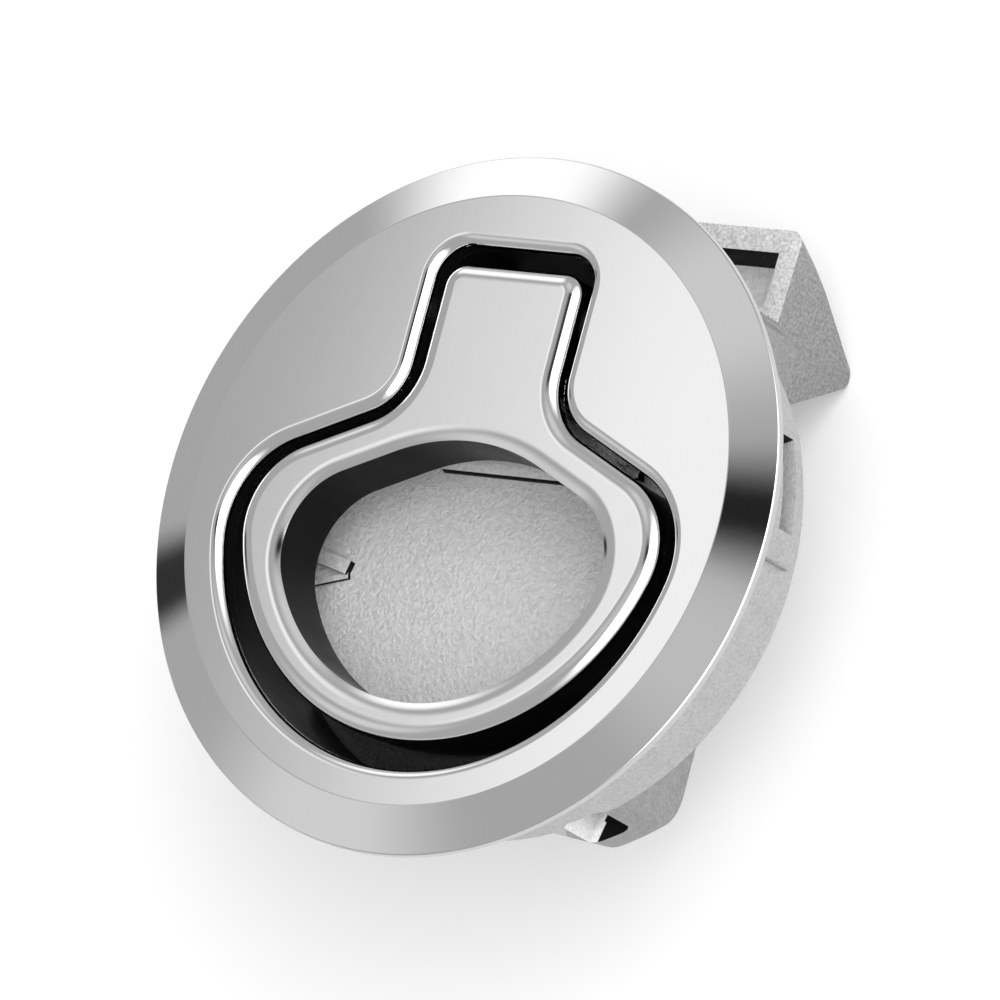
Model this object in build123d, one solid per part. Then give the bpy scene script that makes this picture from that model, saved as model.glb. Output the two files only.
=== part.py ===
from build123d import *
import os
from math import cos, radians, sin, sqrt, tan

# A flush slam latch for a hatch, in stainless castings, in millimetres.
# +Z is the face's normal, +Y points from the finger ring to the bolt, and the origin is the centre of the
# face plate's underside, which lies on the panel.

os.makedirs("parts", exist_ok=True)

# Face plate
LIP_LAND = 2.2  # flat face between the cup's lip and the bevel, where it is narrowest
BEVEL_WIDTH = 3.9
EDGE_BAND = 0.6  # height of the upright rim
BEVEL_RISE = 1.5  # height of the bevel above the rim
FACE_CROWN = 0.3  # rise of the crowned face at its centre
RIM_ROUND = 0.2  # rounding of the rim and of the bevel's edge

# Body behind the plate
BOWL_WALL = 2.2  # round wall that fills the panel's cut-out, where the bowl comes nearest to it
BODY_DEPTH = 11.5  # from the plate's underside to the back of the cup
WALL = 2.0  # casting wall
FLOOR = 2.0  # floor of the cup
POCKET_TOP = 0.35  # how far the cored pockets beside the neck reach into the plate

# Cup, a keyhole: a round bowl under two sloping shoulders, and a straight neck
BOWL_R = 22.85
BOWL_Y = -0.45  # centre of the bowl
SHOULDER_Y = 11.7  # where the two shoulder lines would cross
SHOULDER_ANGLE = 24.0
NECK_HALF = 7.95  # half the width of the neck
NECK_WALL = 3.6  # between the neck's end and the outside of the round wall
NECK_CORNER = 3.0
FLARE_R = 5.0  # hollow corner between neck and shoulder
SHOULDER_R = 8.0  # round corner between shoulder and bowl
LIP_R = 1.0  # polished lip round the cup's mouth
FLOOR_ROUND = 1.2  # round corner at the cup's floor

# Gap between the cup's wall and the handle
SIDE_GAP = 1.35
TIP_GAP = 2.45
SHOULDER_GAP = 0.8
NECK_GAP = 1.0
END_GAP = 1.6

# Handle
HANDLE_TOP = 2.15  # its polished top, flush with the face
HANDLE_THICK = 6.0
RING_TIP = 3.2  # width of the ring at its tip
RING_SIDE = 4.3  # width of the ring at its sides
RING_SHOULDER = 3.7  # width of the ring along its shoulders
HOLE_CROWN_R = 18.0  # crown of the finger hole towards the neck
HOLE_SIDE_R = 7.0
HANDLE_EDGE = 1.1  # rounding of the top's outer edge
HOLE_EDGE = 0.7  # rolled edge of the finger hole
UNDER_EDGE = 0.4
KNUCKLE_R = 2.9
BOSS_R = 2.2  # small bosses that centre the handle between the walls of the neck
BOSS_GAP = 0.3  # boss to wall
LIFT_ANGLE = 35.0  # travel of the handle

# Hinge pin of the handle
PIN_R = 1.5
PIN_FROM_END = 5.1  # from the neck's end to the pin's axis
PIN_Z = -2.4
PIN_HEAD_R = 2.1
PIN_HEAD = 0.8
RUNNING = 0.05  # radial clearance of a hole that turns or slides on a pin
SEATED = 0.02  # radial clearance of a hole that holds a pin or a screw
ACCESS_GAP = 0.15  # round the pin's head, in the hole that it goes in by

# Retaining rings
CLIP_THICK = 0.5
CLIP_R = 2.5
CLIP_BITE = 0.3  # depth of the pin's groove
CLIP_GAP = 0.1  # between a ring and the wall that it bears on
CLIP_MOUTH = 70.0  # opening of the ring, in degrees
PIN_END = 0.5  # pin beyond the groove

# Tail of the handle, which pushes the bolt
TAIL_HALF = 3.0
TAIL_THICK = 3.0
TAIL_REACH = 14.8  # from the hinge pin's axis to the tail's end
TAIL_SIDE_GAP = 0.45
TAIL_PLAY = 0.45  # between the tail and the bolt at rest
BOLT_PER_RAD = 13.6  # travel of the bolt for each radian of the handle

# Handle spring
COIL_WIRE = 0.6
COIL_TURNS = 3.5
COIL_PITCH = 0.66
COIL_GAP = 0.3  # between the coil and the pin
COIL_X = -4.7  # middle of the coil
COIL_POCKET_GAP = 0.4
COIL_ARM = 4.6  # length of the arm that bears on the tail
COIL_BEND = 0.7  # centre-line radius of the wire's bends
COIL_TOE = 1.5  # length of the foot that bears on the cup's floor

# Cheeks that guide the bolt
CHEEK_IN = 12.75  # half the width between the cheeks
CHEEK_THICK = 1.75
CHEEK_DEPTH = 8.4  # behind the cup's back
EAR_R = 26.3  # radius of the cheeks' ends beside the bolt
EAR_ROUND = 1.5
LEG_ROUND = 2.8  # rounding between a leg's outer face and its back

# Legs and the wall that closes the spring chamber
LEG_FOOT = 8.3  # half the gap between the legs at the cup's back
LEG_TAPER = 2.9  # how far the gap widens down to the legs' back
LEG_INNER_Y = -17.0
END_WALL_Y = -18.8  # face that the springs bear on
END_WALL = 2.2
WINDOW_LEFT = 9.3  # window through each leg, from X = 9.3 to 13.2
WINDOW_RIGHT = 13.2
WINDOW_SLOPE = 1.5  # how much the window's inner jamb leans
WINDOW_TOP = 0.9  # how far the window reaches above the cup's back
WINDOW_BELOW = 4.2  # and below it
WINDOW_ROUND = 0.8

# Side lugs with a slot for a retaining clip
LUG_RISE = 0.8  # above the round wall
LUG_FROM = 0.0  # angles from +X
LUG_TO = 29.5
LUG_DEPTH = 10.1
LUG_SLOT_FROM = 6.0
LUG_SLOT_TO = 24.5
LUG_SLOT_TOP = 6.9  # below the plate's underside
LUG_SLOT_BOTTOM = 9.0
LUG_SLOT_DEEP = 1.7

# Ribs on the cup's floor
SILL_Y = 6.2
SILL_HALF = 10.0
SILL_R = 1.1
RIB_LENGTH = 5.0
RIB_WIDTH = 1.2
RIB_RISE = 0.7
RIB_END_X = -16.8  # where the two locating ribs meet
RIB_END_Y = -4.7
RIB_TURN = 13.0
THIN_RIB_WIDTH = 0.5
THIN_RIB_RISE = 0.4
THIN_RIB_TURN = 16.0

# Bolt
BOLT_GAP = 0.15  # between the bolt and its guides
STEM_DEPTH = 7.1
STEM_REAR = -8.0
STEM_FRONT = 23.5
STRIKE_DROP = 7.1  # strike face below the stem's top, at the stem
STRIKE_FALL = 0.65  # slope of the strike face over its length
TIP_Y = 31.75
TIP_THICK = 0.8
HEEL_DEPTH = 19.4  # lowest edge below the stem's top
HEEL_FRONT = 23.1
HEEL_BACK = 21.8
HEEL_FOOT = 15.2  # where the heel's rear face meets the stem
TIP_CORNER = 1.3
HEEL_ROUND = 0.95
POCKET_TOP_WALL = 2.0  # round the pocket in the strike face
POCKET_SIDE_WALL = 1.85
POCKET_ROOT_WALL = 1.2
POCKET_DEEP = 3.3
POCKET_DRAFT = 12.0
NOTCH_DEPTH = 5.9  # notch for the tail

# Guide pin through the cheeks and the bolt
GUIDE_R = 1.25
GUIDE_Y = 4.6
GUIDE_DROP = 3.8  # axis below the cup's back
GUIDE_HEAD_R = 2.2
SLOT_END = 0.25  # room at each end of the bolt's slot

# Bolt springs
SPRING_X = 5.8
SPRING_R = 2.3
SPRING_WIRE = 0.6
SPRING_TURNS = 8
SPRING_HOLE_GAP = 0.35
SPRING_DEEP = 10.0  # blind hole in the bolt
SPRING_SEAT = 0.2
SPIGOT_GAP = 0.3
SPIGOT_LENGTH = 2.0

# Cover over the spring chamber, with its two screws
COVER_THICK = 1.0
COVER_GAP = 0.15
COVER_FRONT = -9.2
COVER_CORNER = 1.5
SCREW_R = 1.25
SCREW_X = 10.8
SCREW_Y = -19.4
SCREW_BOSS_R = 2.2
SCREW_LENGTH = 3.4
SCREW_HEAD_R = 2.1
SCREW_HEAD = 0.85  # height of the countersunk head
SCREW_HEX = 0.75  # half the socket's width across its corners
SCREW_HEX_DEEP = 0.8

BODY_R = BOWL_R - BOWL_Y + BOWL_WALL  # radius of the round wall
BEVEL_R = BOWL_R - BOWL_Y + LIP_R + LIP_LAND  # radius where the bevel meets the face
FACE_R = BEVEL_R + BEVEL_WIDTH  # outer radius of the face plate
LUG_R = BODY_R + LUG_RISE
NECK_END = BODY_R - NECK_WALL
PIN_Y = NECK_END - PIN_FROM_END
FACE_EDGE = EDGE_BAND + BEVEL_RISE
CUP_FLOOR = FLOOR - BODY_DEPTH
CHEEK_OUT = CHEEK_IN + CHEEK_THICK
CHEEK_BACK = -BODY_DEPTH - CHEEK_DEPTH
BOLT_HALF = CHEEK_IN - BOLT_GAP
BOLT_TOP = -BODY_DEPTH - BOLT_GAP
STEM_BACK = BOLT_TOP - STEM_DEPTH
BOLT_TRAVEL = BOLT_PER_RAD * radians(LIFT_ANGLE)
GUIDE_Z = -BODY_DEPTH - GUIDE_DROP
SPRING_Z = GUIDE_Z
TAIL_FACE = PIN_Y - TAIL_THICK / 2
NOTCH_Y = TAIL_FACE - TAIL_PLAY
WELL_OUT = NECK_HALF + WALL


def box(x0, x1, y0, y1, z0, z1):
    """A block between two corners."""
    block = Box(x1 - x0, y1 - y0, z1 - z0)
    return Pos((x0 + x1) / 2, (y0 + y1) / 2, (z0 + z1) / 2) * block


def rod(radius, x0, x1, y, z):
    """A round rod along X."""
    return Pos((x0 + x1) / 2, y, z) * Rot(0, 90, 0) * Cylinder(radius, x1 - x0)


def rod_y(radius, y0, y1, x, z):
    """A round rod along Y."""
    return Pos(x, (y0 + y1) / 2, z) * Rot(90, 0, 0) * Cylinder(radius, y1 - y0)


def both_sides(part):
    """A part and its mirror image across the plane of symmetry."""
    return part + mirror(part, about=Plane.YZ)


def under_shoulders(apex, reach):
    """The area below two shoulder lines that cross at the apex on the Y axis."""
    fall = reach * tan(radians(SHOULDER_ANGLE))
    corners = [(-reach, -reach), (reach, -reach), (reach, apex - fall), (0, apex), (-reach, apex - fall)]
    return make_face(Polyline(*corners, close=True))


def keyhole(bowl_r, bowl_y, apex, neck_half, neck_end, corner_r, flare_r, shoulder_r):
    """The outline that cup and handle share: a bowl under two shoulders, and a neck."""
    bowl = Pos(0, bowl_y) * Circle(bowl_r) & under_shoulders(apex, 2 * bowl_r)
    neck = Pos(0, neck_end / 2) * Rectangle(2 * neck_half, neck_end)
    shape = bowl + neck
    ends = [v for v in shape.vertices() if v.Y > neck_end - 0.01]
    shape = fillet(ends, corner_r)
    flares = [v for v in shape.vertices() if abs(abs(v.X) - neck_half) < 0.01 and v.Y < apex]
    shape = fillet(flares, flare_r)
    shoulders = [v for v in shape.vertices() if abs(v.X) > 0.9 * bowl_r]
    return fillet(shoulders, shoulder_r)


def cup_outline(extra=0.0):
    """The cup's outline, or one grown by a wall all round."""
    lean = cos(radians(SHOULDER_ANGLE))
    return keyhole(
        BOWL_R + extra,
        BOWL_Y,
        SHOULDER_Y + extra / lean,
        NECK_HALF + extra,
        NECK_END + extra,
        NECK_CORNER + extra,
        FLARE_R - extra,
        SHOULDER_R + extra,
    )


def handle_outline():
    """The handle's outline, inside the cup's by the gap on each side."""
    lean = cos(radians(SHOULDER_ANGLE))
    return keyhole(
        BOWL_R - SIDE_GAP,
        BOWL_Y + TIP_GAP - SIDE_GAP,
        SHOULDER_Y - SHOULDER_GAP / lean,
        NECK_HALF - NECK_GAP,
        NECK_END - END_GAP,
        NECK_CORNER - NECK_GAP,
        FLARE_R + NECK_GAP,
        SHOULDER_R - SHOULDER_GAP,
    )


def finger_hole():
    """The hole in the ring, bounded by an arc and by two lines along the shoulders."""
    lean = cos(radians(SHOULDER_ANGLE))
    apex = SHOULDER_Y - (SHOULDER_GAP + RING_SHOULDER) / lean
    tip = BOWL_Y - BOWL_R + TIP_GAP + RING_TIP
    radius = BOWL_R - SIDE_GAP - RING_SIDE
    shape = Pos(0, tip + radius) * Circle(radius) & under_shoulders(apex, 2 * radius)
    crown = [v for v in shape.vertices() if abs(v.X) < 0.01]
    shape = fillet(crown, HOLE_CROWN_R)
    sides = [v for v in shape.vertices() if abs(v.X) > 0.8 * radius]
    return fillet(sides, HOLE_SIDE_R)


def face_plate():
    """The round plate: rim, bevel and a slightly crowned face."""
    crown = FACE_EDGE + FACE_CROWN
    outline = [
        Line((0, 0), (FACE_R, 0)),
        Line((FACE_R, 0), (FACE_R, EDGE_BAND)),
        Line((FACE_R, EDGE_BAND), (BEVEL_R, FACE_EDGE)),
        ThreePointArc((BEVEL_R, FACE_EDGE), (BEVEL_R / 2, FACE_EDGE + 0.75 * FACE_CROWN), (0, crown)),
        Line((0, crown), (0, 0)),
    ]
    profile = make_face(Wire(outline))
    rims = [v for v in profile.vertices() if v.X > BEVEL_R - 0.01 and v.Y > EDGE_BAND / 2]
    profile = fillet(rims, RIM_ROUND)
    return revolve(Plane.XZ * profile, Axis.Z)


def back_envelope(radius, rounding):
    """A turned block that trims whatever stands behind the plate."""
    profile = Pos(radius / 2, CHEEK_BACK / 2) * Rectangle(radius, -CHEEK_BACK)
    rim = [v for v in profile.vertices() if v.X > radius / 2 and v.Y < CHEEK_BACK / 2]
    profile = fillet(rim, rounding)
    return revolve(Plane.XZ * profile, Axis.Z)


def cored_pockets():
    """The two hollows beside the neck, cored from the back, with the cheeks left as ribs."""
    area = Circle(BODY_R - WALL) - cup_outline(WALL)
    area = area & (Pos(0, FACE_R) * Rectangle(2 * FACE_R, 2 * FACE_R))
    hollow = extrude(Pos(0, 0, -BODY_DEPTH) * area, BODY_DEPTH + POCKET_TOP)
    rib = box(CHEEK_IN, CHEEK_OUT, 0, FACE_R, -BODY_DEPTH, POCKET_TOP)
    return hollow - both_sides(rib)


def leg_and_window():
    """One leg on the +X side, tapered, with its window cut through."""
    foot = -BODY_DEPTH + 1.0
    corners = [
        (LEG_FOOT, 0, foot),
        (CHEEK_OUT, 0, foot),
        (CHEEK_OUT, 0, CHEEK_BACK),
        (LEG_FOOT + LEG_TAPER, 0, CHEEK_BACK),
    ]
    profile = make_face(Polyline(*corners, close=True))
    leg = Pos(0, LEG_INNER_Y, 0) * extrude(profile, BODY_R, dir=(0, -1, 0))
    return leg & back_envelope(BODY_R, LEG_ROUND)


def leg_window():
    """The tool that cuts a leg's window: its inner jamb leans, so it narrows inwards."""
    outer = -BODY_R
    inner = END_WALL_Y
    corners = [
        (WINDOW_LEFT, outer),
        (WINDOW_RIGHT, outer),
        (WINDOW_RIGHT, inner),
        (WINDOW_LEFT + WINDOW_SLOPE, inner),
    ]
    plan = make_face(Polyline(*corners, close=True))
    low = -BODY_DEPTH - WINDOW_BELOW
    tool = extrude(Pos(0, 0, low) * plan, WINDOW_BELOW + WINDOW_TOP)
    along = [e for e in tool.edges() if abs(e.tangent_at(0.5).Y) > 0.8 and abs(e.tangent_at(0.5).Z) < 0.1]
    return fillet(along, WINDOW_ROUND)


def cheeks():
    """Both cheeks, their ears beside the bolt, the legs and the wall behind the springs."""
    cheek = box(CHEEK_IN, CHEEK_OUT, -BODY_R, 0, CHEEK_BACK, -BODY_DEPTH + 1.0)
    lower = (cheek & back_envelope(BODY_R, LEG_ROUND)) + leg_and_window()
    ear = box(CHEEK_IN, CHEEK_OUT, 0, EAR_R, CHEEK_BACK, 0)
    upper = ear & back_envelope(EAR_R, EAR_ROUND)
    ledge = CHEEK_BACK + COVER_THICK
    end_wall = box(0, CHEEK_IN, END_WALL_Y - END_WALL, END_WALL_Y, ledge, -BODY_DEPTH + 1.0)
    return both_sides(lower + upper + end_wall)


def sector(inner_r, outer_r, start, end):
    """A piece of a ring between two angles from +X."""
    far = 2 * outer_r
    middle = (start + end) / 2
    rays = [(far * cos(radians(a)), far * sin(radians(a))) for a in (start, middle, end)]
    return (Circle(outer_r) - Circle(inner_r)) & make_face(Polyline((0, 0), *rays, close=True))


def lug():
    """One side lug: a raised pad on the wall, with rounded ends."""
    pad = sector(BODY_R - WALL / 2, LUG_R, LUG_FROM, LUG_TO)
    ends = [v for v in pad.vertices() if sqrt(v.X ** 2 + v.Y ** 2) > LUG_R - 0.01]
    pad = fillet(ends, (LUG_R - BODY_R) * 0.8)
    return extrude(Pos(0, 0, -LUG_DEPTH) * pad, LUG_DEPTH)


def lug_slot():
    """The tool that cuts a lug's slot."""
    slot = sector(LUG_R - LUG_SLOT_DEEP, LUG_R + 1, LUG_SLOT_FROM, LUG_SLOT_TO)
    return extrude(Pos(0, 0, -LUG_SLOT_BOTTOM) * slot, LUG_SLOT_BOTTOM - LUG_SLOT_TOP)


def floor_ribs():
    """The rounded sill across the cup's floor, and the two short locating ribs that meet in a V."""
    sill = rod(SILL_R, -SILL_HALF, SILL_HALF, SILL_Y, CUP_FLOOR)
    wide = box(-RIB_LENGTH, 0, -RIB_WIDTH / 2, RIB_WIDTH / 2, -FLOOR / 2, RIB_RISE)
    thin = box(-RIB_LENGTH, 0, -THIN_RIB_WIDTH / 2, THIN_RIB_WIDTH / 2, -FLOOR / 2, THIN_RIB_RISE)
    ribs = Pos(0, RIB_WIDTH / 2, 0) * Rot(0, 0, -RIB_TURN) * wide + Rot(0, 0, THIN_RIB_TURN) * thin
    return sill + Pos(RIB_END_X, RIB_END_Y, CUP_FLOOR) * ribs


def tail_opening():
    """The opening in the cup's floor for the tail, as long as the tail's swing needs."""
    drop = BODY_DEPTH + PIN_Z + TAIL_PLAY
    swing = radians(LIFT_ANGLE)
    rear = PIN_Y - drop * tan(swing) - TAIL_THICK / 2 / cos(swing) - TAIL_PLAY
    front = PIN_Y + TAIL_THICK / 2 + TAIL_PLAY
    half = TAIL_HALF + TAIL_SIDE_GAP
    return box(-half, half, rear, front, -BODY_DEPTH - 1, CUP_FLOOR + 1)


def latch_body():
    """The one-piece casting that carries everything."""
    wall = Pos(0, 0, -BODY_DEPTH / 2) * Cylinder(BODY_R, BODY_DEPTH)
    body = face_plate() + wall + both_sides(lug())
    body = body - cored_pockets()
    body = body + cheeks()
    cup = extrude(Pos(0, 0, CUP_FLOOR) * cup_outline(), BODY_DEPTH + FACE_R)
    foot = cup.faces().sort_by(Axis.Z)[0].edges()
    body = body - fillet(foot, FLOOR_ROUND)
    on_face = [e for e in body.edges() if e.center().Z > FACE_EDGE - 0.05]
    lips = [e for e in on_face if e.bounding_box().max.Y < NECK_END + 0.1
            and sqrt(e.center().X ** 2 + e.center().Y ** 2) < BEVEL_R - 1]
    body = fillet(lips, LIP_R)
    body = body + floor_ribs()
    body = body - tail_opening()
    body = body - both_sides(leg_window()) - both_sides(lug_slot())
    spigot_r = SPRING_R - SPRING_WIRE - SPIGOT_GAP
    spigot = rod_y(spigot_r, END_WALL_Y - 0.5, END_WALL_Y + SPIGOT_LENGTH, SPRING_X, SPRING_Z)
    body = body + both_sides(spigot)
    body = body - rod(PIN_R + SEATED, -WELL_OUT - 1, WELL_OUT + 1, PIN_Y, PIN_Z)
    body = body - rod(PIN_HEAD_R + ACCESS_GAP, WELL_OUT, FACE_R, PIN_Y, PIN_Z)
    body = body - rod(GUIDE_R + SEATED, -CHEEK_OUT - 1, CHEEK_OUT + 1, GUIDE_Y, GUIDE_Z)
    ledge = CHEEK_BACK + COVER_THICK
    boss = Cylinder(SCREW_BOSS_R, SCREW_LENGTH, align=(Align.CENTER, Align.CENTER, Align.MIN))
    body = body + both_sides(Pos(SCREW_X, SCREW_Y, ledge) * boss)
    body = body - box(-CHEEK_IN, CHEEK_IN, END_WALL_Y - END_WALL, 0, CHEEK_BACK - 1, ledge)
    upright = (Align.CENTER, Align.CENTER, Align.MIN)
    screw_hole = Cylinder(SCREW_R + SEATED, SCREW_LENGTH + 0.4, align=upright)
    return body - both_sides(Pos(SCREW_X, SCREW_Y, ledge) * screw_hole)


def spring_pocket():
    """The pocket in the knuckle for the coil, open downwards and to the neck's end for the arms."""
    half = COIL_TURNS * COIL_PITCH / 2 + COIL_WIRE / 2 + 0.15
    reach = PIN_R + COIL_GAP + COIL_WIRE + COIL_POCKET_GAP
    round_part = rod(reach, COIL_X - half, COIL_X + half, PIN_Y, PIN_Z)
    lowest = PIN_Z - 2 * reach
    way_out = box(COIL_X - half, COIL_X + half, PIN_Y - reach, NECK_END, lowest, PIN_Z + COIL_WIRE)
    return round_part + way_out


def pull_handle():
    """Ring, neck, knuckle and tail in one casting."""
    low = HANDLE_TOP - HANDLE_THICK
    plate = extrude(Pos(0, 0, low) * handle_outline(), HANDLE_THICK)
    plate = fillet(plate.faces().sort_by(Axis.Z)[-1].edges(), HANDLE_EDGE)
    hole = extrude(Pos(0, 0, low - 1) * finger_hole(), HANDLE_THICK + 2)
    plate = plate - hole
    top = plate.faces().sort_by(Axis.Z)[-1]
    rim = [e for e in top.edges() if e.bounding_box().max.Y < SHOULDER_Y - RING_SHOULDER]
    inner = BOWL_R - SIDE_GAP - RING_SIDE
    rim = [e for e in rim if e.center().X ** 2 + (e.center().Y - BOWL_Y) ** 2 < (inner + 0.5) ** 2]
    plate = fillet(rim, HOLE_EDGE)
    plate = fillet(plate.faces().sort_by(Axis.Z)[0].edges(), UNDER_EDGE)
    half = NECK_HALF - BOSS_GAP
    knuckle = rod(KNUCKLE_R, NECK_GAP - NECK_HALF, NECK_HALF - NECK_GAP, PIN_Y, PIN_Z)
    knuckle = knuckle + rod(BOSS_R, -half, half, PIN_Y, PIN_Z)
    tail = box(-TAIL_HALF, TAIL_HALF, TAIL_FACE, TAIL_FACE + TAIL_THICK, PIN_Z - TAIL_REACH, PIN_Z)
    tip = [e for e in tail.faces().sort_by(Axis.Z)[0].edges() if abs(e.tangent_at(0.5).X) > 0.9]
    tail = fillet(tip, TAIL_THICK / 5)
    handle = plate + knuckle + tail
    handle = handle - spring_pocket()
    return handle - rod(PIN_R + RUNNING, -half - 1, half + 1, PIN_Y, PIN_Z)


def headed_pin(radius, head_r, grip_left, grip_right, y, z):
    """A pin along X with its head outside grip_right and a ring's groove outside grip_left."""
    groove_far = grip_left - CLIP_GAP - CLIP_THICK
    shank = rod(radius, groove_far - PIN_END, grip_right, y, z)
    head = rod(head_r, grip_right, grip_right + PIN_HEAD, y, z)
    groove = rod(radius + 1, groove_far, grip_left - CLIP_GAP, y, z)
    groove = groove - rod(radius - CLIP_BITE, groove_far - 1, grip_left + 1, y, z)
    return shank + head - groove


def retaining_ring(radius, grip_left, y, z):
    """The open ring that snaps into a pin's groove."""
    middle = grip_left - CLIP_GAP - CLIP_THICK / 2
    thick = CLIP_THICK - 0.04
    half_mouth = CLIP_MOUTH / 2
    mouth = sector(0.1, 2 * CLIP_R, 180 - half_mouth, 180 + half_mouth)
    ring = Circle(CLIP_R) - Circle(radius - CLIP_BITE + SEATED) - mouth
    return Pos(middle, y, z) * Rot(0, 90, 0) * extrude(ring, thick / 2, both=True)


def handle_spring():
    """A torsion spring: coil on the hinge pin, one arm behind the tail, one foot on the cup's floor."""
    coil_r = PIN_R + COIL_GAP + COIL_WIRE / 2
    length = COIL_TURNS * COIL_PITCH
    near_x = COIL_X - length / 2
    far_x = COIL_X + length / 2
    # The wire comes up on the neck's side, winds over the pin and goes down again on the ring's side.
    coil = Pos(near_x, PIN_Y, PIN_Z) * Rot(0, 90, 0) * Rot(0, 0, 90) * Helix(COIL_PITCH, length, coil_r)
    front = PIN_Y + coil_r
    rear = PIN_Y - coil_r
    foot_z = CUP_FLOOR + COIL_WIRE / 2 + SPRING_SEAT
    hook_z = PIN_Z - COIL_ARM
    foot = FilletPolyline(
        (near_x, front + COIL_TOE, foot_z), (near_x, front, foot_z), (near_x, front, PIN_Z), radius=COIL_BEND
    )
    hook = FilletPolyline(
        (far_x, rear, PIN_Z), (far_x, rear, hook_z), (-TAIL_HALF / 2, rear, hook_z), radius=COIL_BEND
    )
    path = Wire(foot.edges() + coil.edges() + hook.edges())
    return sweep(Plane(path @ 0, z_dir=path % 0) * Circle(COIL_WIRE / 2), path=path)


def latch_bolt():
    """The tongue: a stem between the cheeks, and a wedge with a pocket in its strike face."""
    strike = BOLT_TOP - STRIKE_DROP
    heel = BOLT_TOP - HEEL_DEPTH
    tip = strike - STRIKE_FALL
    profile = make_face(
        Polyline(
            (0, STEM_REAR, BOLT_TOP), (0, STEM_FRONT, BOLT_TOP), (0, STEM_FRONT, strike), (0, TIP_Y, tip),
            (0, TIP_Y - TIP_THICK / 2, tip - TIP_THICK), (0, HEEL_FRONT, heel), (0, HEEL_BACK, heel),
            (0, HEEL_FOOT, STEM_BACK), (0, STEM_REAR, STEM_BACK), close=True,
        )
    )
    bolt = extrude(profile, BOLT_HALF, both=True)
    long_edges = [e for e in bolt.edges() if abs(e.tangent_at(0.5).X) > 0.9]
    heels = [e for e in long_edges if e.center().Z < heel + 0.01]
    bolt = fillet(heels, HEEL_ROUND)
    noses = [e for e in bolt.edges() if e.center().Y > TIP_Y - 0.4 and abs(e.center().X) > BOLT_HALF - 0.1
             and abs(e.tangent_at(0.5).X) < 0.1 and e.center().Z > tip - TIP_THICK]
    bolt = fillet(noses, TIP_CORNER)
    pocket_y0 = STEM_FRONT + POCKET_ROOT_WALL
    pocket_y1 = TIP_Y - POCKET_TOP_WALL
    mouth = Pos(0, (pocket_y0 + pocket_y1) / 2, strike) * Rectangle(
        2 * (BOLT_HALF - POCKET_SIDE_WALL), pocket_y1 - pocket_y0
    )
    pocket = extrude(mouth, -POCKET_DEEP, taper=POCKET_DRAFT)
    above = extrude(mouth, 2.0)
    bolt = bolt - pocket - above
    half = TAIL_HALF + TAIL_SIDE_GAP
    bolt = bolt - box(-half, half, NOTCH_Y, STEM_FRONT + 1, BOLT_TOP - NOTCH_DEPTH, BOLT_TOP + 1)
    bore = rod_y(SPRING_R + SPRING_HOLE_GAP, STEM_REAR - 1, STEM_REAR + SPRING_DEEP, SPRING_X, SPRING_Z)
    bolt = bolt - both_sides(bore)
    slot_half = GUIDE_R + RUNNING
    slot = box(-BOLT_HALF - 1, BOLT_HALF + 1, GUIDE_Y - SLOT_END, GUIDE_Y + BOLT_TRAVEL + SLOT_END,
               GUIDE_Z - slot_half, GUIDE_Z + slot_half)
    slot = slot + rod(slot_half, -BOLT_HALF - 1, BOLT_HALF + 1, GUIDE_Y - SLOT_END, GUIDE_Z)
    slot = slot + rod(slot_half, -BOLT_HALF - 1, BOLT_HALF + 1, GUIDE_Y + BOLT_TRAVEL + SLOT_END, GUIDE_Z)
    return bolt - slot


def bolt_spring(x):
    """A compression spring from the end wall to the bottom of its hole in the bolt."""
    start = END_WALL_Y + SPRING_WIRE / 2 + SPRING_SEAT
    end = STEM_REAR + SPRING_DEEP - SPRING_WIRE / 2 - SPRING_SEAT
    mean_r = SPRING_R - SPRING_WIRE / 2
    pitch = (end - start) / SPRING_TURNS
    turns = [Pos(0, 0, pitch * n) * Helix(pitch, pitch, mean_r) for n in range(SPRING_TURNS)]
    path = Pos(x, start, SPRING_Z) * Rot(-90, 0, 0) * Wire([e for turn in turns for e in turn.edges()])
    return sweep(Plane(path @ 0, z_dir=path % 0) * Circle(SPRING_WIRE / 2), path=path)


def spring_cover():
    """The cover between the cheeks, let into the end wall."""
    half = CHEEK_IN - COVER_GAP
    rear = END_WALL_Y - END_WALL + COVER_GAP
    plan = Pos(0, (rear + COVER_FRONT) / 2) * Rectangle(2 * half, COVER_FRONT - rear)
    front = [v for v in plan.vertices() if v.Y > rear + 1]
    plan = fillet(front, COVER_CORNER)
    cover = extrude(Pos(0, 0, CHEEK_BACK) * plan, COVER_THICK)
    hole = Cylinder(SCREW_R + SEATED, 3 * COVER_THICK) + countersink(SEATED)
    return cover - both_sides(Pos(SCREW_X, SCREW_Y, CHEEK_BACK) * hole)


def countersink(extra=0.0):
    """The cone of a screw's head, with its wide end on the plane Z = 0."""
    rising = (Align.CENTER, Align.CENTER, Align.MIN)
    return Cone(SCREW_HEAD_R + extra, SCREW_R + extra, SCREW_HEAD, align=rising)


def cover_screw(x):
    """A countersunk screw with a hexagon socket, driven from behind."""
    shank = Cylinder(SCREW_R, SCREW_LENGTH + COVER_THICK, align=(Align.CENTER, Align.CENTER, Align.MIN))
    socket = extrude(RegularPolygon(SCREW_HEX, 6), SCREW_HEX_DEEP)
    return Pos(x, SCREW_Y, CHEEK_BACK) * (shank + countersink() - socket)


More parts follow.
